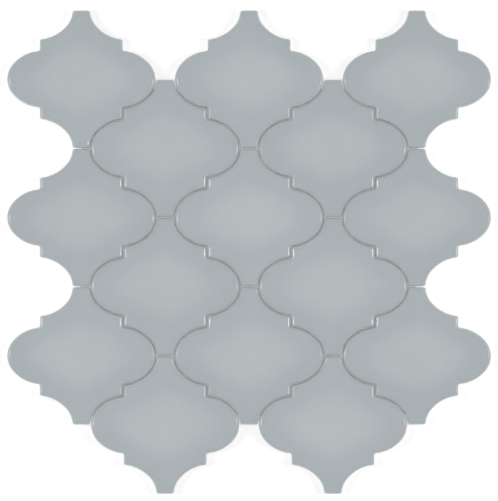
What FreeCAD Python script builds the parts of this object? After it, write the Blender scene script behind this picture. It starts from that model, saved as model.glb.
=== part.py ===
"""A sheet of arabesque wall tile: fifteen glazed ceramic tiles held on a glass-fibre backing mesh.

The frame is in millimetres with +Z up. The sheet lies on its backing with the glazed faces up.
The origin is under the middle of the sheet, at the underside of the mesh. +X runs along a row of
tiles, from nose to nose, and +Y runs along a column, from tip to tip.

The tiles stand on a lattice whose cells fill the plane. The line between two neighbouring cells
maps on itself when it is turned half round about the middle of the step, so every round nose
fits between four hollow flanks. A tile is its cell drawn in by half a joint.
"""
import FreeCAD
import Part
import Sketcher

import math
import os

V = FreeCAD.Vector

# The numbers of the points that a line or an arc is held by, and of the origin they are measured from.
START, END, CENTRE = range(1, 4)
ROOT = -1

DIMENSIONS = {
    "cell_width": (80.0, "from nose to nose of a cell"),
    "cell_height": (74.2, "from tip to tip of a cell"),
    "tip_width": (10.0, "flat end of a cell"),
    "joint": (0.7, "open gap between two tiles"),
    "nose_radius": (12.6, "round end of a cell"),
    "nose_turn": (40.0, "degrees that the round end turns before the flatter shoulder starts"),
    "step_length": (6.2, "straight step between the shoulder and the flank of a cell"),
    "corner_radius": (1.3, "corners of the outline that stand out"),
    "notch_radius": (1.2, "corners of the outline that go in"),
    "tile_thickness": (6.0, "fired body with its glaze"),
    "face_edge_radius": (1.8, "soft edge round the glazed face"),
    "back_chamfer": (0.4, "bevel round the back"),
    "relief_depth": (0.5, "keying grooves in the back"),
    "relief_rim": (3.6, "plain rim between the outline and the grooves"),
    "groove_width": (3.6, "one keying groove"),
    "groove_pitch": (6.0, "from one keying groove to the next"),
    "mesh_thickness": (0.4, "glass-fibre mesh with its adhesive"),
    "mesh_inset_share": (0.3, "edge of the mesh in from the outline, as a share of the nose radius"),
    "mesh_tip_inset": (9.0, "from a free tip down to the straight cut of the mesh"),
}
LONG_ROW = ("left", "middle", "right")
SHORT_ROW = ("left", "right")
ROWS = (LONG_ROW, SHORT_ROW, LONG_ROW, SHORT_ROW, LONG_ROW, SHORT_ROW)

doc = FreeCAD.newDocument("arabesque_sheet")
dimensions = doc.addObject("Spreadsheet::Sheet", "Dimensions")
for line, (alias, (value, meaning)) in enumerate(DIMENSIONS.items(), start=1):
    dimensions.set(f"A{line}", meaning)
    dimensions.set(f"B{line}", str(value))
    dimensions.setAlias(f"B{line}", alias)
doc.recompute()


def bound(formula):
    """The same formula with each dimension's name led by the name of its sheet."""
    for alias in DIMENSIONS:
        formula = formula.replace(f"<{alias}>", f"Dimensions.{alias}")
    return formula


def size(formula):
    """The value of a formula over the dimensions, as a number."""
    return float(dimensions.evalExpression(bound(formula)))


def origin_plane(body, role):
    """One of the three planes through the body's own origin."""
    return next(plane for plane in body.Origin.OriginFeatures if plane.Role == role)


COLUMN_PITCH = "(<cell_width> + <tip_width>)"
NOSE_CENTRE_X = "(<cell_width> / 2 - <nose_radius>)"
STEP_START_Y = "(<cell_height> / 4 - <step_length> / 2)"
ACROSS = f"({NOSE_CENTRE_X} - {COLUMN_PITCH} / 4)"
LEAN = f"({ACROSS} * cos(<nose_turn>) - {STEP_START_Y} * sin(<nose_turn>))"
SHOULDER_RADIUS = (
    f"(({ACROSS} ^ 2 + {STEP_START_Y} ^ 2 + 2 * <nose_radius> * {LEAN} + <nose_radius> ^ 2)"
    f" / (2 * ({LEAN} + <nose_radius>)))"
)
SHOULDER_CENTRE_X = f"({NOSE_CENTRE_X} - ({SHOULDER_RADIUS} - <nose_radius>) * cos(<nose_turn>))"
FLANK_CENTRE_X = f"{COLUMN_PITCH} / 2 - {SHOULDER_CENTRE_X}"
FLANK_CENTRE_Y = f"<cell_height> / 2 + ({SHOULDER_RADIUS} - <nose_radius>) * sin(<nose_turn>)"


class Quarter:
    """The corner points and centres of a quarter outline, drawn in from the cell by an inset.

    The nose arc leaves the X axis and runs into the flatter shoulder arc, which ends at the step.
    Beyond the step the same two arcs come back turned half round, as the flank and the tip.
    """

    def __init__(self, inset):
        turn = math.radians(size("<nose_turn>"))
        along = V(math.cos(turn), math.sin(turn), 0)
        step = V(size(f"{COLUMN_PITCH} / 4"), size("<cell_height> / 4"), 0)
        nose_radius = size("<nose_radius>")
        shoulder_radius = size(SHOULDER_RADIUS)
        self.nose_centre = V(size(NOSE_CENTRE_X), 0, 0)
        self.shoulder_centre = self.nose_centre - along * (shoulder_radius - nose_radius)
        self.flank_centre = step * 2 - self.shoulder_centre
        self.tip_centre = step * 2 - self.nose_centre
        self.nose_radius = nose_radius - inset
        self.shoulder_radius = shoulder_radius - inset
        self.flank_radius = shoulder_radius + inset
        self.tip_radius = nose_radius + inset
        step_x = step.x - inset
        tip_y = 2 * step.y - inset
        self.nose = self.nose_centre + V(self.nose_radius, 0, 0)
        self.nose_end = self.nose_centre + along * self.nose_radius
        self.flank_end = self.tip_centre - along * self.tip_radius
        rise = math.sqrt(self.shoulder_radius**2 - (step_x - self.shoulder_centre.x) ** 2)
        self.notch = V(step_x, self.shoulder_centre.y + rise, 0)
        fall = math.sqrt(self.flank_radius**2 - (step_x - self.flank_centre.x) ** 2)
        self.corner = V(step_x, self.flank_centre.y - fall, 0)
        reach = math.sqrt(self.tip_radius**2 - (tip_y - self.tip_centre.y) ** 2)
        self.tip_corner = V(self.tip_centre.x - reach, tip_y, 0)
        self.tip_middle = V(0, tip_y, 0)


def arc(centre, radius, start, end):
    """The arc of a circle that runs anticlockwise from the start to the end."""
    angles = [math.atan2(p.y - centre.y, p.x - centre.x) for p in (start, end)]
    return Part.ArcOfCircle(Part.Circle(centre, V(0, 0, 1), radius), *angles)


def bind(sketch, rules):
    """Add named constraints whose values follow their formulas."""
    for label, rule, formula in rules:
        index = sketch.addConstraint(Sketcher.Constraint(*rule, size(formula)))
        sketch.renameConstraint(index, label)
        sketch.setExpression(f"Constraints.{label}", bound(formula))


def ground_sketch(body, name):
    """An empty sketch on the body's level plane."""
    sketch = body.newObject("Sketcher::SketchObject", name)
    sketch.AttachmentSupport = [(origin_plane(body, "XY_Plane"), "")]
    sketch.MapMode = "FlatFace"
    return sketch


def draw_quarter(body, name, inset):
    """A sketch of one quarter of the outline, closed along the two axes."""
    sketch = ground_sketch(body, name)
    q = Quarter(size(inset))
    origin = V(0, 0, 0)
    axis_x, nose, shoulder, step, flank, tip, tip_end, axis_y = sketch.addGeometry(
        [
            Part.LineSegment(origin, q.nose),
            arc(q.nose_centre, q.nose_radius, q.nose, q.nose_end),
            arc(q.shoulder_centre, q.shoulder_radius, q.nose_end, q.notch),
            Part.LineSegment(q.notch, q.corner),
            arc(q.flank_centre, q.flank_radius, q.flank_end, q.corner),
            arc(q.tip_centre, q.tip_radius, q.tip_corner, q.flank_end),
            Part.LineSegment(q.tip_corner, q.tip_middle),
            Part.LineSegment(q.tip_middle, origin),
        ],
        False,
    )
    for rule in (
        ("Coincident", axis_x, START, ROOT, START),
        ("Horizontal", axis_x),
        ("Coincident", axis_x, END, nose, START),
        ("PointOnObject", nose, CENTRE, ROOT),
        ("Tangent", nose, END, shoulder, START),
        ("Coincident", shoulder, END, step, START),
        ("Vertical", step),
        ("Coincident", step, END, flank, END),
        ("Tangent", flank, START, tip, END),
        ("Coincident", tip, START, tip_end, START),
        ("Horizontal", tip_end),
        ("Coincident", tip_end, END, axis_y, START),
        ("Vertical", axis_y),
        ("Coincident", axis_y, END, axis_x, START),
    ):
        sketch.addConstraint(Sketcher.Constraint(*rule))
    bind(
        sketch,
        (
            ("nose_centre_x", ("DistanceX", ROOT, START, nose, CENTRE), NOSE_CENTRE_X),
            ("nose_size", ("Radius", nose), f"<nose_radius> - {inset}"),
            ("shoulder_x", ("DistanceX", ROOT, START, shoulder, CENTRE), SHOULDER_CENTRE_X),
            ("shoulder_size", ("Radius", shoulder), f"{SHOULDER_RADIUS} - {inset}"),
            ("step_x", ("DistanceX", ROOT, START, step, START), f"{COLUMN_PITCH} / 4 - {inset}"),
            ("flank_x", ("DistanceX", ROOT, START, flank, CENTRE), FLANK_CENTRE_X),
            ("flank_y", ("DistanceY", ROOT, START, flank, CENTRE), FLANK_CENTRE_Y),
            ("flank_size", ("Radius", flank), f"{SHOULDER_RADIUS} + {inset}"),
            ("tip_size", ("Radius", tip), f"<nose_radius> + {inset}"),
            ("tip_centre_y", ("DistanceY", ROOT, START, tip, CENTRE), "<cell_height> / 2"),
            ("tip_y", ("DistanceY", ROOT, START, tip_end, END), f"<cell_height> / 2 - {inset}"),
        ),
    )
    return sketch


def lantern(name, inset, height):
    """A body with the whole lantern outline, drawn in by the inset and as high as its formula says."""
    body = doc.addObject("PartDesign::Body", name)
    pad = body.newObject("PartDesign::Pad", f"{name}_quarter_pad")
    pad.Profile = draw_quarter(body, f"{name}_quarter", inset)
    pad.setExpression("Length", bound(height))
    whole = body.newObject("PartDesign::MultiTransform", f"{name}_whole")
    mirrors = [
        body.newObject("PartDesign::Mirrored", f"{name}_to_the_left"),
        body.newObject("PartDesign::Mirrored", f"{name}_to_the_front"),
    ]
    for mirror, role in zip(mirrors, ("YZ_Plane", "XZ_Plane")):
        mirror.MirrorPlane = (origin_plane(body, role), [""])
    whole.Originals = [pad]
    whole.Transformations = mirrors
    whole.Refine = True
    body.Tip = whole
    doc.recompute()
    return body


def upright_edges(shape, corners):
    """The names of the upright edges that stand at one of the corners, in any quarter."""
    names = []
    for number, edge in enumerate(shape.Edges, start=1):
        box = edge.BoundBox
        here = V(abs(box.Center.x), abs(box.Center.y), 0)
        if box.XLength < 1e-6 and box.YLength < 1e-6 and any(here.isEqual(c, 1e-3) for c in corners):
            names.append(f"Edge{number}")
    return names


def level_edges(shape, height):
    """The names of all the edges that lie flat at this height."""
    names = []
    for number, edge in enumerate(shape.Edges, start=1):
        box = edge.BoundBox
        if abs(box.ZMin - height) < 1e-4 and abs(box.ZMax - height) < 1e-4:
            names.append(f"Edge{number}")
    return names


def dress(body, kind, name, edges, field, formula):
    """A fillet or a chamfer on the named edges of the body's last feature."""
    before = body.Tip
    feature = body.newObject(f"PartDesign::{kind}", name)
    feature.Base = (before, edges)
    feature.setExpression(field, bound(formula))
    body.Tip = feature
    doc.recompute()
    return feature


def placed(name, base, x_formula, y_formula, z_formula):
    """A body that stands on the base solid, moved to its own place in the sheet."""
    body = doc.addObject("PartDesign::Body", name)
    body.Label = name
    body.BaseFeature = base
    for letter, formula in zip("xyz", (x_formula, y_formula, z_formula)):
        body.setExpression(f"Placement.Base.{letter}", bound(formula))
    return body


def lattice_x(steps):
    """The place of a column, in half column pitches from the middle of the sheet."""
    return f"{COLUMN_PITCH} * {steps} / 2"


def lattice_y(row):
    """The place of a row, counted down from the top one."""
    return f"<cell_height> / 2 * {(len(ROWS) - 1) / 2 - row}"


def neighbours(row, steps):
    """The cells that share a flank or a tip with the cell in this row and column."""
    at_flanks = {(row + down, steps + across) for down in (-1, 1) for across in (-1, 1)}
    return at_flanks | {(row - 2, steps), (row + 2, steps)}


def add_ribs(body):
    """Take the ribs out of the body, in rows at the groove pitch on both sides of its middle."""
    body.AllowCompound = True
    ribs_each_way = int(size("<cell_height> / 2 / <groove_pitch>"))
    sketch = ground_sketch(body, "rib_outline")
    half_length = size("<cell_width> / 2")
    low = size("<groove_width> / 2")
    high = size("<groove_pitch> - <groove_width> / 2")
    level = ((-half_length, low), (half_length, low), (half_length, high), (-half_length, high))
    starts = [V(x, y, 0) for x, y in level]
    sides = [Part.LineSegment(start, end) for start, end in zip(starts, starts[1:] + starts[:1])]
    front, right, back, left = sketch.addGeometry(sides, False)
    for side, following in ((front, right), (right, back), (back, left), (left, front)):
        sketch.addConstraint(Sketcher.Constraint("Coincident", side, END, following, START))
    for side in (front, back):
        sketch.addConstraint(Sketcher.Constraint("Horizontal", side))
    for side in (right, left):
        sketch.addConstraint(Sketcher.Constraint("Vertical", side))
    bind(
        sketch,
        (
            ("rib_left", ("DistanceX", front, START, ROOT, START), "<cell_width> / 2"),
            ("rib_right", ("DistanceX", ROOT, START, front, END), "<cell_width> / 2"),
            ("rib_low", ("DistanceY", ROOT, START, front, START), "<groove_width> / 2"),
            ("rib_high", ("DistanceY", ROOT, START, back, START), "<groove_pitch> - <groove_width> / 2"),
        ),
    )
    rib = body.newObject("PartDesign::Pocket", "rib")
    rib.Profile = sketch
    rib.Type = "ThroughAll"
    rib.Midplane = True
    doc.recompute()
    rows = body.newObject("PartDesign::MultiTransform", "rib_rows")
    along = body.newObject("PartDesign::LinearPattern", "ribs_along")
    along.Direction = (sketch, ["V_Axis"])
    along.setExpression("Length", bound(f"<groove_pitch> * {ribs_each_way - 1}"))
    along.Occurrences = ribs_each_way
    across = body.newObject("PartDesign::Mirrored", "ribs_across")
    across.MirrorPlane = (origin_plane(body, "XZ_Plane"), [""])
    rows.Originals = [rib]
    rows.Transformations = [along, across]
    body.Tip = rows
    doc.recompute()


def cut(name, base, tool):
    """The base solid less the tool."""
    result = doc.addObject("Part::Cut", name)
    result.Base = base
    result.Tool = tool
    doc.recompute()
    return result


# One tile: the outline, its corners eased, the face edge rounded and the back bevelled.
tile_form = lantern("tile_form", "<joint> / 2", "<tile_thickness>")
tile_quarter = Quarter(size("<joint> / 2"))
standing = upright_edges(tile_form.Shape, [tile_quarter.corner, tile_quarter.tip_corner])
dress(tile_form, "Fillet", "corners_eased", standing, "Radius", "<corner_radius>")
hollow = upright_edges(tile_form.Shape, [tile_quarter.notch])
dress(tile_form, "Fillet", "notches_eased", hollow, "Radius", "<notch_radius>")
face_edges = level_edges(tile_form.Shape, size("<tile_thickness>"))
dress(tile_form, "Fillet", "face_edge_rounded", face_edges, "Radius", "<face_edge_radius>")
dress(tile_form, "Chamfer", "back_bevelled", level_edges(tile_form.Shape, 0), "Size", "<back_chamfer>")

# The keying grooves in its back: a shallow recess inside the rim, with ribs left standing in it.
relief_form = lantern("relief_form", "(<joint> / 2 + <relief_rim>)", "<relief_depth>")
recess_volume = relief_form.Shape.Volume
add_ribs(relief_form)
if not 0 < relief_form.Shape.Volume < recess_volume:
    raise RuntimeError("the ribs take nothing out of the recess")
grooved_tile = cut("grooved_tile", tile_form, relief_form)

# Each filled cell: its row from the top one and its column in half pitches from the middle, and its name.
filled_cells = {
    (row, 2 * place - (len(names) - 1)): f"tile_row{row + 1}_{place_name}"
    for row, names in enumerate(ROWS)
    for place, place_name in enumerate(names)
}
nodes = [
    placed(name, grooved_tile, lattice_x(steps), lattice_y(row), "<mesh_thickness>")
    for (row, steps), name in filled_cells.items()
]

# The mesh: a thin sheet, less each empty cell round it grown by half a joint and the inset.
gap_form = lantern("gap_form", "(-<joint> / 2 - <mesh_inset_share> * <nose_radius>)", "<mesh_thickness> * 3")
all_gaps = doc.addObject("Part::MultiFuse", "all_gaps")
all_gaps.Shapes = [
    placed(f"gap_in_line_{row}_at_{steps}", gap_form, lattice_x(steps), lattice_y(row), "-<mesh_thickness>")
    for row, steps in sorted(set().union(*(neighbours(*cell) for cell in filled_cells)) - set(filled_cells))
]
mesh_sheet = doc.addObject("Part::Box", "mesh_sheet")
half_length = f"({COLUMN_PITCH} + <cell_width> / 2)"
half_width = "(<cell_height> * 7 / 4 - <joint> / 2 - <mesh_tip_inset>)"
for field, formula in (
    ("Length", f"2 * {half_length}"),
    ("Width", f"2 * {half_width}"),
    ("Height", "<mesh_thickness>"),
    ("Placement.Base.x", f"-{half_length}"),
    ("Placement.Base.y", f"-{half_width}"),
):
    mesh_sheet.setExpression(field, bound(formula))
nodes.append(cut("backing_mesh", mesh_sheet, all_gaps))

for thing in doc.Objects:
    if "Invalid" in thing.State or "Error" in thing.State:
        raise RuntimeError(f"{thing.Name} does not compute: {thing.State}")
for node in nodes:
    if node.Shape.isNull() or not node.Shape.isValid() or len(node.Shape.Solids) != 1:
        raise RuntimeError(f"{node.Label} is not one sound solid")
os.makedirs("parts", exist_ok=True)
for node in nodes:
    node.Shape.exportStep(f"parts/{node.Label}.step")
    print(f"{node.Label}: {node.Shape.Volume:.1f} mm3")
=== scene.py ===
"""A sheet of arabesque wall tile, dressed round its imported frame.

Fifteen lantern tiles with a soft grey glaze lie face up on a glass-fibre mesh. The glaze rounds
the edge of each face, runs a little way down the side and stops on the pale fired body. It is
lighter in the middle of a tile and deeper towards the outline.

All lengths are in metres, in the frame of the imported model: +X from nose to nose, +Y from tip
to tip and +Z out of the glazed faces.
"""

from __future__ import annotations

import logging
import math
from dataclasses import dataclass, field
from enum import Enum
from functools import cached_property

import bpy
import numpy as np
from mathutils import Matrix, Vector
from mathutils.geometry import delaunay_2d_cdt

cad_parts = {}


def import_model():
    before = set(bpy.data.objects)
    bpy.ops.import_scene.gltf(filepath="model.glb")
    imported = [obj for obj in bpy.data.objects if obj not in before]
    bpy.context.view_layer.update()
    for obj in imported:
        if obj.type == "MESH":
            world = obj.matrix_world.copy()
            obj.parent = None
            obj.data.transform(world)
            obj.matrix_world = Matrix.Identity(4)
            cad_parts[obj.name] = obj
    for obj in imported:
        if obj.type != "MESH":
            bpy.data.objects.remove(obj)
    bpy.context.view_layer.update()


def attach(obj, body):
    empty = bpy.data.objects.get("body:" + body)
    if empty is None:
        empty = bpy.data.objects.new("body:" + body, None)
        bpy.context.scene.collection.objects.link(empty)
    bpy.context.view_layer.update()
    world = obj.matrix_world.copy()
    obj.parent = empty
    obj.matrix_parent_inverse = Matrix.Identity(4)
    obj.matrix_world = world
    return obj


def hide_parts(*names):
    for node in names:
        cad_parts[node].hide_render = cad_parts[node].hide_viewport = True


LOG = logging.getLogger("arabesque_sheet")
MM = 0.001
TILES_IN_ROWS = (3, 2, 3, 2, 3, 2)
PLACE_NAMES = {3: ("left", "middle", "right"), 2: ("left", "right")}
MESH_NODE = "backing_mesh"
WHITE = (1.0, 1.0, 1.0)
UNIT_RANGE = (0.0, 1.0)
WIDE_NOISE = (0.3, 0.7)
NARROW_NOISE = (0.35, 0.65)
# Points closer than this, in millimetres, are one point of a filling
TOUCHING = 1e-6
# The places of a mix node's two colours among its inputs, and of its colour among its outputs
MIX_COLOURS = (6, 7)
MIXED_COLOUR = 2


class Direction(Enum):
    """The two ways a yarn of the mesh runs."""

    ALONG_X = "weft"
    ALONG_Y = "warp"


def smooth_step(values: np.ndarray, low: float, high: float) -> np.ndarray:
    """Rise from 0 at low to 1 at high, level at both ends.

    Args:
        values: Where to take the step.
        low: The value where it starts.
        high: The value where it ends.

    Returns:
        3 t squared minus 2 t cubed, where t is the share of the way from low to high.
    """
    share = np.clip((values - low) / (high - low), 0.0, 1.0)
    return share * share * (3.0 - 2.0 * share)


def put_in_scene(name: str, data: bpy.types.ID) -> bpy.types.Object:
    """Make an object of this name from its mesh, lamp or camera data.

    Args:
        name: The object's name.
        data: What it shows or does.

    Returns:
        The object, linked into the scene.
    """
    thing = bpy.data.objects.new(name, data)
    bpy.context.scene.collection.objects.link(thing)
    return thing


def make_object(
    name: str, vertices: np.ndarray, faces: list, finishes: tuple, crease: float = math.radians(30.0)
) -> bpy.types.Object:
    """Make a mesh object at the origin from whole arrays.

    Args:
        name: The object's name.
        vertices: Points in the row frame, one a row.
        faces: Lists of vertex numbers, anticlockwise seen from outside.
        finishes: Its materials.
        crease: The angle in radians past which an edge is sharp.

    Returns:
        The object, linked into the scene.
    """
    mesh = bpy.data.meshes.new(name)
    mesh.from_pydata(vertices.tolist(), [], faces)
    mesh.validate()
    mesh.shade_smooth()
    mesh.set_sharp_from_angle(angle=crease)
    for finish in finishes:
        mesh.materials.append(finish)
    return put_in_scene(name, mesh)


def fill_loops(loops: list[np.ndarray]) -> tuple[np.ndarray, np.ndarray, list, list]:
    """Fill closed loops with Delaunay triangles, in them and between them.

    Args:
        loops: Arrays of points, two numbers a row, numbered on from one loop to the next.

    Returns:
        The filling's points, the three point numbers of each triangle, the loops' points that
        each of its points comes from, and the two point numbers of each side of the loops.
    """
    sides = []
    first = 0
    for loop in loops:
        numbers = range(first, first + len(loop))
        sides.extend(zip(numbers, [*numbers[1:], numbers[0]]))
        first += len(loop)
    scaled = [Vector(point) for point in np.concatenate(loops) / MM]
    places, _, faces, origins, _, _ = delaunay_2d_cdt(scaled, sides, [], 0, TOUCHING)
    flat = np.array([tuple(place) for place in places]) * MM
    return flat, np.array([list(face) for face in faces]), origins, sides


def lie_in(points: np.ndarray, loop: np.ndarray) -> np.ndarray:
    """Say which points lie in a closed loop.

    Args:
        points: Two numbers a row.
        loop: The corners of the loop.

    Returns:
        True where a ray along +X from the point crosses the loop an odd number of times.
    """
    within = np.logical_and(points > loop.min(axis=0), points < loop.max(axis=0)).all(axis=1)
    x, y = points[within, :1], points[within, 1:]
    start = loop[None, :, :]
    stop = np.roll(loop, -1, axis=0)[None, :, :]
    spans = (start[..., 1] > y) != (stop[..., 1] > y)
    rise = np.where(spans, stop[..., 1] - start[..., 1], 1.0)
    crossing = start[..., 0] + (y - start[..., 1]) * (stop[..., 0] - start[..., 0]) / rise
    within[within] = (spans & (x < crossing)).sum(axis=1) % 2 == 1
    return within


def at_height(flat: np.ndarray, height: float) -> np.ndarray:
    """Lift points of the plane to one height."""
    return np.column_stack([flat, np.full(len(flat), height)])


def join_rings(rings: int, count: int) -> np.ndarray:
    """List the four-sided faces between closed rings of points, one after another.

    Args:
        rings: How many rings there are.
        count: How many points each of them has.

    Returns:
        Four vertex numbers a face: a point, the next one on its ring, and the two beyond them.
    """
    low = np.arange(rings - 1)[:, None] * count
    here = low + np.arange(count)
    after = low + (np.arange(count) + 1) % count
    return np.stack([here, after, after + count, here + count], axis=2).reshape(-1, 4)


def write_attribute(thing: bpy.types.Object, name: str, values: np.ndarray) -> None:
    """Store one number for each vertex of a mesh object, under this name."""
    attribute = thing.data.attributes.new(name, "FLOAT", "POINT")
    attribute.data.foreach_set("value", values.astype(np.float32))


class Nodes:
    """A short way to write a material's nodes."""

    def __init__(self, tree: bpy.types.NodeTree) -> None:
        """Empty the node tree of a material or of the world, and keep it."""
        self.tree = tree
        tree.nodes.clear()

    def add(self, kind: str, inputs: dict | None = None, **settings: object) -> bpy.types.Node:
        """Add one node.

        Args:
            kind: Its type without the leading ShaderNode.
            inputs: What goes into it, by the name or the number of its sockets.
            settings: Its properties, by name.

        Returns:
            The node.
        """
        node = self.tree.nodes.new(f"ShaderNode{kind}")
        for name, value in settings.items():
            setattr(node, name, value)
        for name, value in (inputs or {}).items():
            self.feed(node.inputs[name], value)
        return node

    def feed(self, target: bpy.types.NodeSocket, value: object) -> None:
        """Link a socket to the target, or set the target to a plain value.

        Args:
            target: One of a node's inputs.
            value: A socket, a number or an opaque colour.
        """
        if isinstance(value, bpy.types.NodeSocket):
            self.tree.links.new(value, target)
        else:
            target.default_value = (*value, 1.0) if isinstance(value, tuple) else value

    def math(self, operation: str, *values: object) -> bpy.types.NodeSocket:
        """Work out one number from others, by the operation's name, such as MULTIPLY."""
        return self.add("Math", dict(enumerate(values)), operation=operation).outputs[0]

    def remap(self, value: bpy.types.NodeSocket, old: tuple, new: tuple) -> bpy.types.NodeSocket:
        """Carry a number from one range over to another, smoothly and with clamped ends.

        Args:
            value: The number's socket.
            old: The first and the last number of its range.
            new: The two numbers that they become.

        Returns:
            The socket with the result.
        """
        limits = dict(zip(("From Min", "From Max", "To Min", "To Max"), (*old, *new)))
        node = self.add("MapRange", {"Value": value, **limits}, interpolation_type="SMOOTHSTEP")
        return node.outputs["Result"]

    def vary(self, value: bpy.types.NodeSocket, middle: float, swing: float) -> bpy.types.NodeSocket:
        """Carry noise over to the range that reaches this far to both sides of the middle."""
        return self.remap(value, WIDE_NOISE, (middle - swing, middle + swing))

    def blend(self, share: object, first: object, second: object) -> bpy.types.NodeSocket:
        """Mix two colours, each given as it is or by its socket, with this share of the second."""
        inputs = {"Factor": share, **dict(zip(MIX_COLOURS, (first, second)))}
        return self.add("Mix", inputs, data_type="RGBA").outputs[MIXED_COLOUR]

    def noise(
        self, place: bpy.types.NodeSocket, scale: float, detail: float, rough: float = 0.5
    ) -> bpy.types.NodeSocket:
        """Make cloudy noise.

        Args:
            place: The socket with the place.
            scale: How many waves there are to a metre.
            detail: How many finer layers are laid over the first.
            rough: How strong each finer layer is, next to the one before.

        Returns:
            The noise's socket.
        """
        inputs = {"Vector": place, "Scale": scale, "Detail": detail, "Roughness": rough}
        return self.add("TexNoise", inputs).outputs["Fac"]

    def attribute(self, name: str) -> bpy.types.NodeSocket:
        """The number that the mesh keeps under this name."""
        return self.add("Attribute", attribute_name=name).outputs["Fac"]

    def bump(self, height: bpy.types.NodeSocket, depth: float) -> bpy.types.NodeSocket:
        """Tilt the surface's normal by a height field, whose 0 and 1 are this many metres apart."""
        return self.add("Bump", {"Height": height, "Distance": depth}).outputs["Normal"]

    def object_place(self) -> bpy.types.NodeSocket:
        """The place on the object, in its own coordinates."""
        return self.add("TexCoord").outputs["Object"]

    def principled(self, colour: object, roughness: object, normal: object) -> bpy.types.Node:
        """Add the surface shader and the output.

        Args:
            colour: The base colour or its socket.
            roughness: The roughness or its socket.
            normal: The normal's socket.

        Returns:
            The shader node.
        """
        inputs = {"Base Color": colour, "Roughness": roughness, "Normal": normal}
        shader = self.add("BsdfPrincipled", inputs)
        self.add("OutputMaterial", {"Surface": shader.outputs[0]})
        return shader


def new_material(name: str) -> tuple[bpy.types.Material, Nodes]:
    """Make an empty node material.

    Args:
        name: Its name.

    Returns:
        The material and the writer for its nodes.
    """
    material = bpy.data.materials.new(name)
    material.use_nodes = True
    return material, Nodes(material.node_tree)


@dataclass(frozen=True)
class GreyGlaze:
    """The gloss glaze: lighter in the middle of a tile and a little greener and deeper near its edge.

    It is thin where it runs over the rounded edge, and the pale body shows through it there.
    This paler colour is also painted light, which lifts the shade on the rounded edge and the side.
    """

    middle: tuple = (0.400, 0.429, 0.447)
    edge: tuple = (0.349, 0.387, 0.406)
    # thin: the paler glaze of the rounded edge and the side, partly body showing through thin glaze, partly
    # painted light over their shade
    thin: tuple = (0.68, 0.72, 0.73)
    thin_glaze_and_painted_light_share: float = 0.85
    cloud_share: float = 0.010
    cloud_scale: float = 55.0
    speck_share: float = 0.012
    speck_scale: float = 1400.0
    roughness: float = 0.12
    roughness_swing: float = 0.03
    refraction: float = 1.6
    orange_peel: float = 0.012 * MM
    peel_scale: float = 420.0

    def build(self) -> bpy.types.Material:
        """Make the glaze's material.

        Returns:
            A material that reads the tone, thin and batch numbers of the mesh.
        """
        material, nodes = new_material("grey_glaze")
        place = nodes.object_place()
        tone = nodes.blend(nodes.attribute("tone"), self.edge, self.middle)
        # Paler where the thin number is high: partly thin glaze, partly painted light that lifts the shade
        # of the rounded edge and the side
        tone = nodes.blend(nodes.math("MULTIPLY", nodes.attribute("thin"), self.thin_glaze_and_painted_light_share), tone, self.thin)
        clouds = nodes.noise(place, self.cloud_scale, detail=3.0)
        cloudy = nodes.vary(clouds, 1.0, self.cloud_share)
        specked = nodes.vary(nodes.noise(place, self.speck_scale, detail=2.0), 1.0, self.speck_share)
        level = nodes.math("MULTIPLY", nodes.math("MULTIPLY", cloudy, specked), nodes.attribute("batch"))
        colour = nodes.add("VectorMath", {"Vector": tone, "Scale": level}, operation="SCALE")
        peel = nodes.bump(nodes.noise(place, self.peel_scale, detail=1.0), self.orange_peel)
        rough = nodes.vary(clouds, self.roughness, self.roughness_swing)
        shader = nodes.principled(colour.outputs[0], rough, peel)
        shader.inputs["IOR"].default_value = self.refraction
        return material


@dataclass(frozen=True)
class FiredBody:
    """The pale unglazed body, with its grain, pores and the traces of adhesive on its back.
    The pores are sunk by the bump and painted darker, as painted shade in them.
    """

    colour: tuple = (0.655, 0.65, 0.63)
    dust: tuple = (0.735, 0.73, 0.715)
    painted_pore_shade: tuple = (0.48, 0.465, 0.44)
    grain_scale: float = 900.0
    grain_rough: float = 0.65
    pore_scale: float = 650.0
    pore_edge: tuple = (0.12, 0.26)
    pore_share: float = 0.75
    patch_scale: float = 70.0
    roughness: float = 0.86
    grain_depth: float = 0.05 * MM

    def build(self) -> bpy.types.Material:
        """Make the fired body's material.

        Returns:
            A matt material that reads object coordinates only.
        """
        material, nodes = new_material("fired_body")
        place = nodes.object_place()
        patches = nodes.remap(nodes.noise(place, self.patch_scale, detail=4.0), NARROW_NOISE, UNIT_RANGE)
        ground = nodes.blend(patches, self.colour, self.dust)
        grain = nodes.noise(place, self.grain_scale, detail=4.0, rough=self.grain_rough)
        pores = nodes.add("TexVoronoi", {"Vector": place, "Scale": self.pore_scale}, feature="F1")
        pore_dents_and_shade = nodes.remap(pores.outputs["Distance"], self.pore_edge, (self.pore_share, 0.0))
        # Painted shade: the pores are darkened where the bump sinks them
        colour = nodes.blend(pore_dents_and_shade, ground, self.painted_pore_shade)
        height = nodes.math("SUBTRACT", grain, pore_dents_and_shade)
        nodes.principled(colour, self.roughness, nodes.bump(height, self.grain_depth))
        return material


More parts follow.
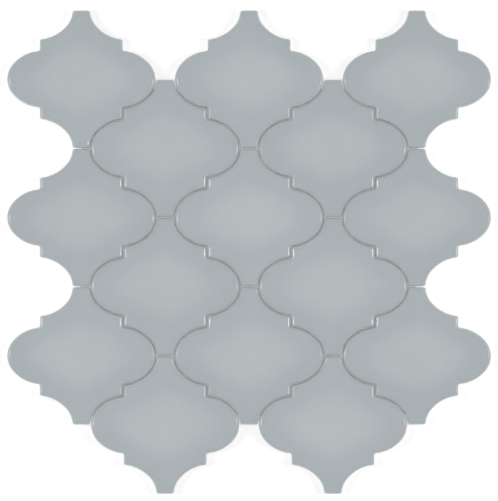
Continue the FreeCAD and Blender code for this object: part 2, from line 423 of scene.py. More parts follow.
@dataclass(frozen=True)
class GlassYarn:
    """White glass-fibre yarn under a thin coat of adhesive, with fine filaments along it and painted shade
    in the grooves between them.
    """

    colour: tuple = (0.90, 0.90, 0.89)
    painted_filament_shade: tuple = (0.76, 0.77, 0.77)
    filaments: float = 14.0
    waver: float = 5.0
    waver_scale: float = 260.0
    roughness: float = 0.48
    depth: float = 0.03 * MM

    def build(self) -> bpy.types.Material:
        """Make the yarn's material.

        Returns:
            A material whose filaments follow the yarn's own map.
        """
        material, nodes = new_material("glass_yarn")
        along = nodes.add("UVMap", uv_map="yarn").outputs[0]
        split = nodes.add("SeparateXYZ", {0: along})
        turns = nodes.math("MULTIPLY", split.outputs["Y"], self.filaments * math.tau)
        clouds = nodes.noise(nodes.object_place(), self.waver_scale, detail=2.0)
        waver = nodes.math("MULTIPLY", clouds, self.waver)
        ridges = nodes.math("SINE", nodes.math("ADD", turns, waver))
        share = nodes.remap(ridges, (-1.0, 1.0), UNIT_RANGE)
        # Painted shade: darker between the filaments, where the bump sinks the surface
        colour = nodes.blend(share, self.painted_filament_shade, self.colour)
        nodes.principled(colour, self.roughness, nodes.bump(share, self.depth))
        return material


@dataclass(frozen=True)
class DriedAdhesive:
    """White adhesive that dried in the mesh, with a slightly wavy, waxy surface."""

    colour: tuple = (0.77, 0.79, 0.795)
    thin: tuple = (0.70, 0.725, 0.73)
    patch_scale: float = 120.0
    ripple_scale: float = 380.0
    roughness: float = 0.42
    depth: float = 0.08 * MM

    def build(self) -> bpy.types.Material:
        """Make the adhesive's material.

        Returns:
            A pale material that reads object coordinates only.
        """
        material, nodes = new_material("dried_adhesive")
        place = nodes.object_place()
        patches = nodes.remap(nodes.noise(place, self.patch_scale, detail=3.0), NARROW_NOISE, UNIT_RANGE)
        colour = nodes.blend(patches, self.thin, self.colour)
        ripples = nodes.noise(place, self.ripple_scale, detail=2.0)
        nodes.principled(colour, self.roughness, nodes.bump(ripples, self.depth))
        return material


@dataclass(frozen=True)
class PaleFloor:
    """The white studio floor, which keeps the soft shadow of the sheet."""

    colour: tuple = (0.90, 0.90, 0.90)
    lift: float = 0.15

    def build(self) -> bpy.types.Material:
        """Make the floor's material.

        Returns:
            A matt white material, lifted to full white where the camera looks at it.
        """
        material, nodes = new_material("pale_floor")
        matt = nodes.add("BsdfDiffuse", {"Color": self.colour})
        seen = nodes.add("LightPath").outputs["Is Camera Ray"]
        glow = nodes.add("Emission", {"Color": WHITE, "Strength": nodes.math("MULTIPLY", seen, self.lift)})
        both = nodes.add("AddShader", {0: matt.outputs[0], 1: glow.outputs[0]})
        nodes.add("OutputMaterial", {"Surface": both.outputs[0]})
        return material


@dataclass
class LanternOutline:
    """The outline of one tile: a round nose, a flatter shoulder, a straight step, a flank and a tip."""

    cell_width: float = 80.0 * MM
    cell_height: float = 74.2 * MM
    tip_width: float = 10.0 * MM
    joint: float = 0.7 * MM
    nose_radius: float = 12.6 * MM
    nose_turn: float = math.radians(40.0)
    step_length: float = 6.2 * MM
    corner_radius: float = 1.3 * MM
    notch_radius: float = 1.2 * MM
    least_corner: float = 0.15 * MM
    least_straight_samples: int = 2
    least_arc_samples: int = 6

    @property
    def column_pitch(self) -> float:
        """From one tile's centre to the next one in its row."""
        return self.cell_width + self.tip_width

    def shoulder_radius(self) -> float:
        """Work out the radius of the flatter arc.

        The centre lies on the line through the end of the nose arc and its centre, so that one arc
        leaves the other smoothly, and is as far from the start of the step as from that end.

        Returns:
            The radius.
        """
        across = self.cell_width / 2 - self.nose_radius - self.column_pitch / 4
        up = self.cell_height / 4 - self.step_length / 2
        lean = across * math.cos(self.nose_turn) - up * math.sin(self.nose_turn)
        top = across**2 + up**2 + 2 * self.nose_radius * lean + self.nose_radius**2
        return top / (2 * (lean + self.nose_radius))

    def pieces(self, inset: float, eased: bool) -> tuple:
        """Work out the arcs and straights of a quarter, from the nose to the middle of the tip.

        Args:
            inset: How far the outline is drawn in from the cell.
            eased: Whether the corners are rounded, as they are round a tile.

        Returns:
            An arc as its centre, its radius and its first and last angle, a straight as its first
            and last point. The rounded corners touch the arcs and straights beside them, and keep
            a little radius at any inset.
        """

        def heading(start: np.ndarray, to: np.ndarray) -> float:
            """The angle of the way from one point to another."""
            return math.atan2(to[1] - start[1], to[0] - start[0])

        def leg(longest: float, other: float) -> float:
            """The third side of a right-angled triangle."""
            return math.sqrt(longest**2 - other**2)

        turn = np.array([math.cos(self.nose_turn), math.sin(self.nose_turn)])
        big = self.shoulder_radius()
        step = np.array([self.column_pitch / 4, self.cell_height / 4])
        nose = np.array([self.cell_width / 2 - self.nose_radius, 0.0])
        shoulder = nose - turn * (big - self.nose_radius)
        flank = 2 * step - shoulder
        tip = 2 * step - nose
        nose_r = self.nose_radius - inset
        shoulder_r = big - inset
        flank_r = big + inset
        tip_r = self.nose_radius + inset
        step_x = step[0] - inset
        tip_y = 2 * step[1] - inset
        small = self.notch_radius + inset - self.joint / 2 if eased else 0.0
        round_r = max(self.corner_radius - inset + self.joint / 2, self.least_corner) if eased else 0.0
        notch_x = step_x + small
        notch = np.array([notch_x, shoulder[1] + leg(shoulder_r + small, notch_x - shoulder[0])])
        corner_x = step_x - round_r
        corner = np.array([corner_x, flank[1] - leg(flank_r + round_r, corner_x - flank[0])])
        end_y = tip_y - round_r
        end = np.array([tip[0] - leg(tip_r + round_r, end_y - tip[1]), end_y])
        return (
            (nose, nose_r, 0.0, self.nose_turn),
            (shoulder, shoulder_r, self.nose_turn, heading(shoulder, notch)),
            (notch, small, heading(notch, shoulder), -math.pi),
            ((step_x, notch[1]), (step_x, corner[1])),
            (corner, round_r, 0.0, heading(corner, flank)),
            (flank, flank_r, heading(flank, corner), self.nose_turn - math.pi),
            (tip, tip_r, self.nose_turn - math.pi, heading(tip, end)),
            (end, round_r, heading(end, tip), math.pi / 2),
            ((end[0], tip_y), (0.0, tip_y)),
        )

    def quarter(self, inset: float, spacing: float, eased: bool = True) -> np.ndarray:
        """Sample the quarter of the outline from the nose to the middle of the tip.

        Each arc is its centre plus its radius in the direction of the angle; each straight runs
        evenly from end to end. An eased piece has as many samples at every inset as it has round
        a tile, so that the samples of two insets belong together.

        Args:
            inset: How far the outline is drawn in from the cell.
            spacing: The distance between samples.
            eased: Whether the corners are rounded, as they are round a tile.

        Returns:
            The points, two numbers a row.
        """
        points = []
        at_tile = self.pieces(self.joint / 2 if eased else inset, eased)
        for piece, guide in zip(self.pieces(inset, eased), at_tile):
            if len(piece) == 2:
                first, last = (np.array(part) for part in piece)
                samples = max(self.least_straight_samples, math.ceil(math.dist(*guide) / spacing))
                share = np.linspace(0.0, 1.0, samples, endpoint=False)[:, None]
                points.append(first + (last - first) * share)
            elif guide[1] > 0.0:
                centre, radius, start, stop = piece
                length = abs(guide[3] - guide[2]) * guide[1]
                samples = max(self.least_arc_samples, math.ceil(length / spacing))
                angles = np.linspace(start, stop, samples, endpoint=False)
                points.append(centre + radius * np.stack([np.cos(angles), np.sin(angles)], axis=1))
        points.append(np.array([[0.0, self.cell_height / 2 - inset]]))
        return np.concatenate(points)

    def closed(self, inset: float, spacing: float, eased: bool = True) -> np.ndarray:
        """The whole outline, anticlockwise from its right nose: a quarter and its mirror images."""
        return self.mirror(self.quarter(inset, spacing, eased))

    @staticmethod
    def mirror(quarter: np.ndarray) -> np.ndarray:
        """Close a quarter of an outline by its mirror images in both axes.

        Args:
            quarter: Points from the nose on the X axis to the tip on the Y axis.

        Returns:
            The closed loop, anticlockwise and with no point twice.
        """
        half = np.concatenate([quarter, quarter[-2:0:-1] * (-1.0, 1.0)])
        last = quarter[:1] * (-1.0, 1.0)
        return np.concatenate([half, last, half[:0:-1] * (1.0, -1.0)])


def cell_place(outline: LanternOutline, row: int, steps: int) -> tuple[float, float]:
    """The middle of a cell, by its row from the top and its column in half pitches from the middle."""
    middle_row = (len(TILES_IN_ROWS) - 1) / 2
    return steps * outline.column_pitch / 2, (middle_row - row) * outline.cell_height / 2


def filled_cells(outline: LanternOutline) -> list[tuple[float, float]]:
    """The middles of the cells that hold a tile, row by row from the top left one."""
    return [
        cell_place(outline, row, steps)
        for row, count in enumerate(TILES_IN_ROWS)
        for steps in range(1 - count, count, 2)
    ]


def empty_cells(outline: LanternOutline) -> list[tuple[float, float]]:
    """Find the empty cells round the sheet.

    Args:
        outline: The outline of a tile, which gives the size of a cell.

    Returns:
        Their middles, row by row, two rows past the sheet's own at the top and at the bottom.
    """
    cells = []
    margin = 2
    reach = max(TILES_IN_ROWS) + 1
    for row in range(-margin, len(TILES_IN_ROWS) + margin):
        count = TILES_IN_ROWS[row] if 0 <= row < len(TILES_IN_ROWS) else 0
        steps_in_row = [steps for steps in range(-reach, reach + 1) if (row + steps) % 2 == 0]
        cells += [cell_place(outline, row, steps) for steps in steps_in_row if abs(steps) >= count]
    return cells


@dataclass
class TileMesh:
    """The points and faces that all the tiles start from, about a tile's own middle.

    It has the number of points in a ring, and for each face whether it is bare of glaze. The crown
    is 1 at the outline and falls smoothly to 0 on the level part of the face.
    """

    points: np.ndarray
    faces: list
    count: int
    bare: np.ndarray
    crown: np.ndarray


@dataclass
class TileShape:
    """The shape that all the tiles share: the pressed body, its glazed face and its grooved back."""

    outline: LanternOutline = field(default_factory=LanternOutline)
    spacing: float = 0.62 * MM
    bottom: float = 0.4 * MM
    thickness: float = 6.0 * MM
    edge_radius: float = 1.8 * MM
    upright_rings: int = 4
    glaze_ring: int = 3
    edge_rings: int = 10
    face_rings: int = 20
    ring_crowding: float = 1.25
    crown: float = 0.10 * MM
    crown_reach: float = 9.0 * MM
    chamfer: float = 0.4 * MM
    glaze_line: float = 1.9 * MM
    glaze_wander: float = 0.45 * MM
    relief_depth: float = 0.5 * MM
    relief_rim: float = 3.6 * MM
    groove_width: float = 3.6 * MM
    groove_pitch: float = 6.0 * MM
    groove_end_points: int = 7
    grooves_each_way: int = 5
    tone_axes: tuple = (25.7 * MM, 17.0 * MM)
    tone_power: float = 1.45
    tone_range: tuple = (0.48, 1.34)

    def groove_loops(self) -> list[np.ndarray]:
        """Draw the outlines of the grooves in the back, anticlockwise.

        Returns:
            One closed loop a groove: a level band, cut off by the outline drawn in by the rim.
        """
        inset = self.outline.joint / 2 + self.relief_rim
        rim = self.outline.quarter(inset, self.spacing, eased=False)
        # Drawn in this far, the outline turns back a little at its corners, so its heights are held there
        heights = np.maximum.accumulate(rim[:, 1])
        loops = []
        for number in range(-self.grooves_each_way, self.grooves_each_way + 1):
            low = number * self.groove_pitch - self.groove_width / 2
            levels = np.linspace(low, low + self.groove_width, self.groove_end_points)
            widths = np.interp(np.abs(levels), heights, rim[:, 0])
            right = np.stack([widths, levels], axis=1)
            loops.append(np.concatenate([right, right[::-1] * (-1.0, 1.0)]))
        return loops

    def back(self, ring: np.ndarray) -> tuple[np.ndarray, list]:
        """Fill the back inside its outer ring, with the grooves sunk into it.

        The level parts are a Delaunay filling of the ring and the grooves' loops. A triangle whose
        middle lies in a groove goes to the groove's floor, and each side of a loop gets a wall.

        Args:
            ring: The points of the back's outer edge, which the caller has as vertices 0 onwards.

        Returns:
            The points of the grooves, at the back and then at their floors, and all the faces, with
            the grooves' points numbered on from the ring's.
        """
        loops = self.groove_loops()
        grooves = np.concatenate(loops)
        flat = np.concatenate([ring, grooves])
        _, filled, origins, edges = fill_loops([ring, *loops])
        triangles = np.array([group[0] for group in origins])[filled]
        middles = flat[triangles].mean(axis=1)
        inside = lie_in(middles, ring)
        sunk = np.any([lie_in(middles, loop) for loop in loops], axis=0)
        shift = len(grooves)
        level = triangles[inside & ~sunk]
        floors = triangles[sunk] + shift
        down = [face[::-1] for face in np.concatenate([level, floors]).tolist()]
        walls = [(i, i + shift, j + shift, j) for i, j in edges[len(ring):]]
        floor = self.bottom + self.relief_depth
        return np.concatenate([at_height(grooves, self.bottom), at_height(grooves, floor)]), down + walls

    @property
    def straight(self) -> float:
        """The height where the upright side ends and the round edge of the face starts."""
        return self.bottom + self.thickness - self.edge_radius

    @cached_property
    def mesh(self) -> TileMesh:
        """Lay out the mesh that all the tiles share.

        Rings run from the back's edge over the bevel, up the side, over the quarter round of the
        face's edge and then in to the centre as smaller and smaller copies of the last one.

        Returns:
            The mesh, with the glaze's ring and the two beside it still to be set to a tile's own
            glaze line.
        """
        half_joint = self.outline.joint / 2
        top = self.bottom + self.thickness
        upright = (0.0, self.bottom + self.chamfer)
        levels = [(self.chamfer, self.bottom), *[upright] * self.upright_rings]
        for turn in np.linspace(0.0, math.pi / 2, self.edge_rings):
            inset = self.edge_radius * (1.0 - math.cos(turn))
            levels.append((inset, self.straight + self.edge_radius * math.sin(turn)))
        rings = [
            at_height(self.outline.closed(half_joint + inset, self.spacing), height)
            for inset, height in levels
        ]
        last = rings[-1]
        count = len(last)
        for share in 1.0 - np.linspace(0.0, 1.0, self.face_rings + 1)[1:-1] ** self.ring_crowding:
            rings.append(last * (share, share, 1.0))
        points = np.concatenate([*rings, [[0.0, 0.0, top]]])
        quads = join_rings(len(rings), count)
        hub = len(rings) * count
        innermost = np.arange(hub - count, hub)
        fan = np.stack([innermost, np.roll(innermost, -1), np.full(count, hub)], axis=1)
        grooves, back_faces = self.back(points[:count, :2])
        offset = len(points) - count
        back_faces = [[n if n < count else n + offset for n in face] for face in back_faces]
        points = np.concatenate([points, grooves])
        faces = [*quads.tolist(), *fan.tolist(), *back_faces]
        bare = np.zeros(len(faces), np.int32)
        bare[: self.glaze_ring * count] = 1
        bare[len(faces) - len(back_faces):] = 1
        gaps = np.full(len(points), self.crown_reach)
        inner = np.arange((len(levels) - 1) * count, hub + 1)
        apart = points[inner, None, :2] - rings[1][None, :, :2]
        gaps[inner] = np.sqrt((apart**2).sum(axis=2)).min(axis=1)
        return TileMesh(points, faces, count, bare, 1.0 - smooth_step(gaps, 0.0, self.crown_reach))

    def tone(self, x: np.ndarray, y: np.ndarray) -> np.ndarray:
        """How light the glaze is at a place on the tile.

        Args:
            x: Distances from the tile's centre towards a nose.
            y: Distances from the tile's centre towards a tip.

        Returns:
            1 in the middle, falling smoothly to 0 across a rounded diamond: the power mean of the
            two distances, each over its own axis.
        """
        wide, high = self.tone_axes
        power = self.tone_power
        reach = (np.abs(x / wide) ** power + np.abs(y / high) ** power) ** (1 / power)
        return 1.0 - smooth_step(reach, *self.tone_range)


@dataclass
class Tile:
    """One tile of the sheet, in its own place and with its own small differences."""

    shape: TileShape
    name: str
    centre: tuple
    seed: int
    waves: int = 7
    wave_height: float = 0.016 * MM
    wave_lengths: tuple = (14.0 * MM, 38.0 * MM)
    line_waves: range = range(2, 19)
    line_peak: float = 3.5
    thin_power: float = 1.8
    batch_share: float = 0.012
    crease: float = math.radians(32.0)

    def ripple(self, x: np.ndarray, y: np.ndarray, random: np.random.Generator) -> np.ndarray:
        """The slow waves of the glaze, from minus one to one.

        Args:
            x: Distances from the tile's centre along X.
            y: Distances from the tile's centre along Y.
            random: The tile's own source of numbers.

        Returns:
            The mean of a few plane cosine waves of chance direction, length and phase.
        """
        headings = random.uniform(0.0, math.pi, self.waves)
        lengths = random.uniform(*self.wave_lengths, self.waves)
        phases = random.uniform(0.0, math.tau, self.waves)
        run = np.outer(x.ravel(), np.cos(headings)) + np.outer(y.ravel(), np.sin(headings))
        return np.cos(run * math.tau / lengths + phases).mean(axis=1).reshape(x.shape)

    def build(self, glaze: bpy.types.Material, body: bpy.types.Material) -> bpy.types.Object:
        """Build the tile's mesh and dress it.

        The glaze line wanders round the side as a sum of slow cosine waves along the outline. On the
        face, the height falls by slow waves and, near the outline, by the crown. The thin number
        falls from 1 to 0 up the round edge, as a power of one minus the square of the share climbed.
        Where it is high the glaze is painted paler: partly thin glaze, partly painted light that
        lifts the shade of the round edge and the side.

        Args:
            glaze: The material of the face and the upper side.
            body: The material of the lower side and the back.

        Returns:
            The tile's object, which stands for its CAD node.
        """
        shape = self.shape
        mesh = shape.mesh
        random = np.random.default_rng(self.seed)
        around = np.arange(mesh.count) / mesh.count * math.tau
        wander = sum(
            math.sqrt(1.0 / number) * np.cos(number * around + random.uniform(0.0, math.tau))
            for number in self.line_waves
        )
        line = shape.bottom + shape.glaze_line + shape.glaze_wander * wander / self.line_peak
        x, y, z = mesh.points.T.copy()
        bevel_top = shape.bottom + shape.chamfer
        heights = ((bevel_top + line) / 2, line, (line + shape.straight) / 2)
        for ring, height in enumerate(heights, start=shape.glaze_ring - 1):
            z[ring * mesh.count:(ring + 1) * mesh.count] = height
        share_up = np.clip((z - shape.straight) / shape.edge_radius, 0.0, 1.0)
        # thin paints the round edge and the side paler: partly thinner glaze, partly painted light over
        # their shade
        thin = (1.0 - share_up**2) ** self.thin_power
        waves = (self.ripple(x, y, random) - 1.0) * self.wave_height
        z += smooth_step(share_up, 0.0, 1.0) * (waves - mesh.crown * shape.crown)
        placed = np.column_stack([x + self.centre[0], y + self.centre[1], z])
        thing = make_object(self.name, placed, mesh.faces, (glaze, body), self.crease)
        write_attribute(thing, "tone", shape.tone(x, y))
        write_attribute(thing, "thin", thin)
        batch = 1.0 + random.uniform(-self.batch_share, self.batch_share)
        write_attribute(thing, "batch", np.full(len(placed), batch))
        thing.data.polygons.foreach_set("material_index", mesh.bare)
        return thing


@dataclass
class BackingMesh:
    """The glass-fibre mesh: level wefts, and pairs of warps that pass over and under them."""

    outline: LanternOutline = field(default_factory=LanternOutline)
    pitch: float = 5.0 * MM
    thickness: float = 0.4 * MM
    weft_half_width: float = 0.42 * MM
    warp_half_width: float = 0.26 * MM
    warp_spread: float = 0.34 * MM
    half_thickness: float = 0.085 * MM
    inset_share: float = 0.3
    tip_inset: float = 9.0 * MM
    steps_in_pitch: int = 4
    sides: int = 6
    sway: float = 0.175 * MM
    sway_length: float = 43.0 * MM
    reach_in_columns: float = 1.5
    search_step: float = 0.25 * MM
    outline_spacing: float = 0.4 * MM
    weft_seed: int = 40
    warp_seed: int = 41
    crease: float = math.radians(70.0)

    def covered(self, x: np.ndarray, y: np.ndarray) -> np.ndarray:
        """Say which points lie on the mesh.

        A point is on the mesh if it lies in no empty cell once the cell is grown by half a joint
        and the inset, and within the straight cuts at the tips.

        Args:
            x: Places along X.
            y: Places along Y.

        Returns:
            True where the mesh is.
        """
        grown = self.outline.quarter(-self.gap_growth(), self.outline_spacing, eased=False)
        # Grown this far, the outline turns back a little at its corners, so its heights are held there
        heights = np.maximum.accumulate(grown[:, 1])
        half_width, half_height = self.half_size()
        inside = (np.abs(x) < half_width) & (np.abs(y) < half_height)
        for cell_x, cell_y in empty_cells(self.outline):
            reach = np.interp(np.abs(y - cell_y), heights, grown[:, 0], right=0.0)
            inside &= np.abs(x - cell_x) >= reach
        return inside

    def gap_growth(self) -> float:
        """How far an empty cell is grown before the mesh may start."""
        return self.outline.joint / 2 + self.inset_share * self.outline.nose_radius

    def half_size(self) -> tuple[float, float]:
        """Measure the mesh between its straight cuts.

        Returns:
            Half of its width and half of its height.
        """
        shape = self.outline
        half_rows = (len(TILES_IN_ROWS) + 1) / 2
        return (
            shape.column_pitch + shape.cell_width / 2,
            half_rows * shape.cell_height / 2 - shape.joint / 2 - self.tip_inset,
        )

    def runs(self, direction: Direction, place: float, reach: float) -> list[tuple[float, float]]:
        """Find where a yarn lies on the mesh.

        Args:
            direction: The way the yarn runs.
            place: Its place across that way.
            reach: How far from the middle of the sheet to look.

        Returns:
            The start and the end of each stretch that is long enough to show.
        """
        along = np.arange(-reach, reach, self.search_step)
        across = np.full(len(along), place)
        points = (along, across) if direction is Direction.ALONG_X else (across, along)
        inside = np.concatenate([[False], self.covered(*points), [False]])
        turns = np.flatnonzero(inside[1:] != inside[:-1])
        stretches = zip(along[turns[::2]], along[np.minimum(turns[1::2], len(along) - 1)])
        return [(start, stop) for start, stop in stretches if stop - start > self.pitch / 2]

    def skin(self, count: int, flipped: bool) -> list:
        """List the faces of a yarn: four-sided ones between its rings, and a cap at each end.

        Args:
            count: How many rings the yarn has.
            flipped: Whether the faces turn the other way round.

        Returns:
            Lists of vertex numbers, counted from the yarn's first one.
        """
        quads = join_rings(count, self.sides)[:, [0, 3, 2, 1]]
        first = list(range(self.sides))
        last = [number + (count - 1) * self.sides for number in reversed(first)]
        faces = [*quads.tolist(), first, last]
        return [face[::-1] for face in faces] if flipped else faces

    def yarn(self, path: np.ndarray, wide: np.ndarray, half_width: float) -> tuple[np.ndarray, np.ndarray]:
        """Carry the flat oval section of a yarn along its path.

        Args:
            path: The points of the yarn's middle.
            wide: The unit direction across the yarn, in the plane of the mesh.
            half_width: Half of the yarn's width.

        Returns:
            The vertices, ring by ring, and the number of each one's ring.
        """
        angles = np.arange(self.sides) / self.sides * math.tau + math.pi / self.sides
        across = np.outer(np.cos(angles) * half_width, wide)
        up = np.outer(np.sin(angles) * self.half_thickness, (0.0, 0.0, 1.0))
        rings = path[:, None, :] + (across + up)[None, :, :]
        return rings.reshape(-1, 3), np.repeat(np.arange(len(path)), self.sides)

    def build(self, direction: Direction, finish: bpy.types.Material) -> bpy.types.Object:
        """Weave all the yarns that run one way.

        A weft stays level and sways a little. A warp is a pair: between one weft and the next, its
        two yarns swap sides as a cosine of the distance along them, and heights as its sine.

        Args:
            direction: The way the yarns run.
            finish: The yarns' material.

        Returns:
            One object with all the yarns, closed at their ends.
        """
        weft = direction is Direction.ALONG_X
        random = np.random.default_rng(self.weft_seed if weft else self.warp_seed)
        reach = self.reach_in_columns * self.outline.column_pitch
        half_width = self.weft_half_width if weft else self.warp_half_width
        middle = self.thickness / 2
        swing = middle - self.half_thickness
        ahead, aside = np.eye(3)[:2] if weft else np.eye(3)[1::-1]
        all_points, all_faces, marks = [], [], []
        total = 0
        lines = np.arange(-reach + self.pitch / 2, reach, self.pitch)
        for place in lines:
            shift = random.uniform(0.0, math.tau)
            for start, stop in self.runs(direction, place, reach):
                steps = max(2, round((stop - start) / self.pitch * self.steps_in_pitch))
                run = np.linspace(start, stop, steps + 1)
                sway = self.sway * np.sin(run * math.tau / self.sway_length + shift)
                beat = run / self.pitch * math.pi
                for side in ((0.0,) if weft else (-1.0, 1.0)):
                    offset = sway + side * self.warp_spread * np.cos(beat)
                    path = np.outer(run, ahead) + np.outer(place + offset, aside)
                    path[:, 2] = middle + side * swing * np.sin(beat)
                    points, ring_numbers = self.yarn(path, aside, half_width)
                    faces = self.skin(len(run), flipped=not weft)
                    all_faces.extend([number + total for number in face] for face in faces)
                    all_points.append(points)
                    turns = np.tile(np.arange(self.sides) / self.sides, len(run))
                    marks.append(np.column_stack([run[ring_numbers], turns]))
                    total += len(points)
        name = f"mesh_{direction.value}"
        thing = make_object(name, np.concatenate(all_points), all_faces, (finish,), self.crease)
        self.map_yarns(thing, np.concatenate(marks))
        return thing

    @staticmethod
    def map_yarns(thing: bpy.types.Object, marks: np.ndarray) -> None:
        """Give each corner its place along and round the yarn, with no seam inside a face.

        Args:
            thing: The yarns' object.
            marks: Two numbers for each vertex.
        """
        mesh = thing.data
        corners = np.zeros(len(mesh.loops), np.int64)
        mesh.loops.foreach_get("vertex_index", corners)
        flat = marks[corners]
        starts = np.zeros(len(mesh.polygons), np.int64)
        sizes = np.zeros(len(mesh.polygons), np.int64)
        mesh.polygons.foreach_get("loop_start", starts)
        mesh.polygons.foreach_get("loop_total", sizes)
        highest = np.repeat(np.maximum.reduceat(flat[:, 1], starts), sizes)
        flat[:, 1] += highest - flat[:, 1] > 0.5
        layer = mesh.uv_layers.new(name="yarn")
        layer.data.foreach_set("uv", flat.astype(np.float32).ravel())


@dataclass
class AdhesiveBands:
    """The dried adhesive along the joints: it closes the mesh there and holds the rims of the tiles.

    Its edges wander, as those of anything spread by hand.
    """

    mesh: BackingMesh
    low: float = 0.21 * MM
    high: float = 0.395 * MM
    reach: float = 5.6 * MM
    edge_inset: float = 0.9 * MM
    wander: float = 0.55 * MM
    wander_waves: range = range(3, 30, 2)
    wave_shares: tuple = (0.3, 1.0)
    wander_peak: float = 2.6
    spacing: float = 0.8 * MM
    softness: float = 26.0
    seed: int = 7
    crease: float = math.radians(40.0)

    def wandering(self, loop: np.ndarray, random: np.random.Generator) -> np.ndarray:
        """Soften a closed loop and let it wander.

        Args:
            loop: Its points, evenly spaced.
            random: A source of numbers.

        Returns:
            The loop with its waves weakened by a bell curve of their number, plus a small
            push outwards that is a sum of slow waves along the loop.
        """
        place = loop[:, 0] + 1j * loop[:, 1]
        count = len(place)
        number = np.fft.fftfreq(count) * count
        soft = np.fft.ifft(np.fft.fft(place) * np.exp(-((number / self.softness) ** 2)))
        along = np.arange(count) / count * math.tau
        waves = sum(
            np.cos(n * along + random.uniform(0.0, math.tau)) * random.uniform(*self.wave_shares)
            for n in self.wander_waves
        )
        ahead = np.roll(soft, -1) - np.roll(soft, 1)
        outward = -1j * ahead / np.abs(ahead)
        soft = soft + outward * waves / self.wander_peak * self.wander
        return np.column_stack([soft.real, soft.imag])

    def build(self, finish: bpy.types.Material) -> bpy.types.Object:
        """Fill the bands between the edge of the mesh and the middles of the tiles.

        Args:
            finish: The adhesive's material.

        Returns:
            One closed, flat object.
        """
        random = np.random.default_rng(self.seed)
        outline = self.mesh.outline
        gap = outline.closed(-self.mesh.gap_growth() - self.edge_inset, self.spacing, eased=False)
        window = outline.closed(outline.joint / 2 + self.reach, self.spacing, eased=False)
        holes = [self.wandering(gap, random) + cell for cell in empty_cells(outline)]
        holes += [self.wandering(window, random) + cell for cell in filled_cells(outline)]
        half = np.array(self.mesh.half_size()) - self.edge_inset
        corners = half * [(-1, -1), (1, -1), (1, 1), (-1, 1)]
        flat, triangles, _, _ = fill_loops([corners, *holes])
        middles = flat[triangles].mean(axis=1)
        kept = lie_in(middles, corners)
        for hole in holes:
            kept &= ~lie_in(middles, hole)
        triangles = triangles[kept]
        used, triangles = np.unique(triangles, return_inverse=True)
        triangles = triangles.reshape(-1, 3)
        flat = flat[used]
        sides = np.concatenate([triangles[:, [i, (i + 1) % 3]] for i in range(3)])
        known = {tuple(side) for side in sides.tolist()}
        open_sides = [(i, j) for i, j in known if (j, i) not in known]
        count = len(flat)
        walls = [(i, j, j + count, i + count) for i, j in open_sides]
        points = np.concatenate([at_height(flat, self.low), at_height(flat, self.high)])
        faces = [*triangles[:, ::-1].tolist(), *(triangles + count).tolist(), *walls]
        return make_object("adhesive", points, faces, (finish,), self.crease)


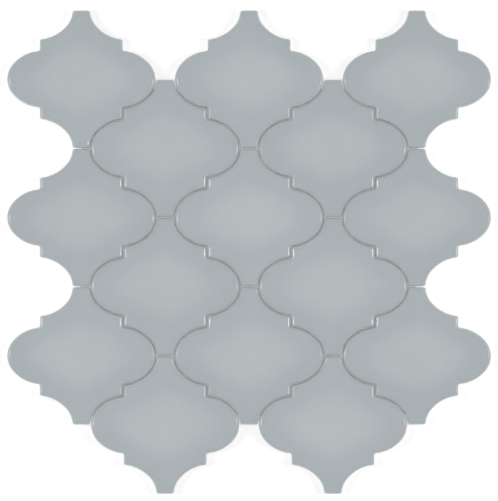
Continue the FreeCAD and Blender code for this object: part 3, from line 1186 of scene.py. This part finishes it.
@dataclass
class Studio:
    """The pale floor, the soft light and the camera that looks straight down on the sheet."""

    floor_size: float = 9.0
    floor_drop: float = 0.02 * MM
    sky: float = 0.235
    horizon_share: float = 0.7
    overhead: float = 0.399
    overhead_angle: float = math.radians(9.0)
    strip_distance: float = 1.25
    strip_rise: float = math.radians(44.0)
    strip_height: float = 0.45
    strip_width: float = 0.2
    strip_power: float = 4.4
    picture_width: int = 498
    picture_height: int = 501
    metres_a_pixel: float = 0.5358 * MM
    sheet_middle: tuple = (249.08, 252.12)
    face_height: float = 6.4 * MM
    lens: float = 400.0
    sensor: float = 36.0

    def light(self) -> None:
        """Set a white sky, a light from above and one upright strip box on each side.

        Part of the sky's light grows towards the horizon, as one minus the height of its direction.
        A level surface gets a third of such a sky's full strength, so the part is counted three times.
        """
        world = bpy.data.worlds.new("studio")
        world.use_nodes = True
        bpy.context.scene.world = world
        nodes = Nodes(world.node_tree)
        path = nodes.add("LightPath")
        seen = nodes.math("MAXIMUM", path.outputs["Is Camera Ray"], path.outputs["Is Glossy Ray"])
        seen = nodes.math("MAXIMUM", seen, path.outputs["Is Transmission Ray"])
        direction = nodes.add("SeparateXYZ", {0: nodes.add("TexCoord").outputs["Generated"]})
        fall = -3.0 * self.horizon_share * self.sky
        at_horizon = (1.0 + 2.0 * self.horizon_share) * self.sky
        soft = nodes.math("MULTIPLY_ADD", direction.outputs["Z"], fall, at_horizon)
        sky = nodes.add("Background", {"Color": WHITE, "Strength": nodes.math("MAXIMUM", seen, soft)})
        nodes.add("OutputWorld", {"Surface": sky.outputs[0]})
        above = bpy.data.lights.new("overhead", "SUN")
        above.energy = self.overhead * math.pi
        above.angle = self.overhead_angle
        put_in_scene("overhead", above).visible_glossy = False
        for name, side in (("strip_left", -1.0), ("strip_right", 1.0)):
            data = bpy.data.lights.new(name, "AREA")
            data.shape = "RECTANGLE"
            data.size = self.strip_height
            data.size_y = self.strip_width
            data.energy = self.strip_power
            lamp = put_in_scene(name, data)
            heading = Vector((side * math.cos(self.strip_rise), 0.0, math.sin(self.strip_rise)))
            place = heading * self.strip_distance
            lamp.location = place
            lamp.rotation_mode = "QUATERNION"
            lamp.rotation_quaternion = place.to_track_quat("Z", "X")
            lamp.visible_camera = False

    def floor(self) -> None:
        """Lay the floor under the sheet."""
        half = self.floor_size / 2
        flat = half * np.array([(-1, -1), (1, -1), (1, 1), (-1, 1)])
        corners = at_height(flat, -self.floor_drop)
        thing = make_object("floor", corners, [[0, 1, 2, 3]], (PaleFloor().build(),))

    def camera(self) -> None:
        """Hang the camera over the sheet, so that a pixel is as long on the glazed faces as it should be."""
        data = bpy.data.cameras.new("camera")
        data.lens = self.lens
        data.sensor_width = self.sensor
        longest = max(self.picture_width, self.picture_height) * self.metres_a_pixel
        thing = put_in_scene("camera", data)
        middle_x = self.picture_width / 2
        middle_y = self.picture_height / 2
        thing.location = (
            (middle_x - self.sheet_middle[0]) * self.metres_a_pixel,
            (self.sheet_middle[1] - middle_y) * self.metres_a_pixel,
            self.face_height + longest * self.lens / self.sensor,
        )
        bpy.context.scene.camera = thing


def hand_over(thing: bpy.types.Object, node: str) -> None:
    """Let a piece stand for its CAD node, and log how many triangles it has.

    Args:
        thing: The dressed piece.
        node: The CAD node that it replaces.
    """
    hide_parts(node)
    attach(thing, "root")
    triangles = sum(len(face.vertices) - 2 for face in thing.data.polygons)
    LOG.info("%s has %d triangles", thing.name, triangles)


def main() -> None:
    """Load the frame, build the tiles, the mesh and the studio."""
    logging.basicConfig(level=logging.INFO, format="%(name)s: %(message)s")
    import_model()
    glaze = GreyGlaze().build()
    body = FiredBody().build()
    shape = TileShape()
    outline = shape.outline
    nodes = [
        f"tile_row{row}_{name}"
        for row, count in enumerate(TILES_IN_ROWS, start=1)
        for name in PLACE_NAMES[count]
    ]
    for seed, (node, centre) in enumerate(zip(nodes, filled_cells(outline)), start=100):
        thing = Tile(shape, f"glazed_{node}", centre, seed).build(glaze, body)
        hand_over(thing, node)
    mesh = BackingMesh()
    yarn = GlassYarn().build()
    for direction in Direction:
        hand_over(mesh.build(direction, yarn), MESH_NODE)
    hand_over(AdhesiveBands(mesh).build(DriedAdhesive().build()), MESH_NODE)
    studio = Studio()
    studio.light()
    studio.floor()
    studio.camera()
    bpy.context.scene.view_settings.view_transform = "Standard"


if __name__ == "__main__":
    main()
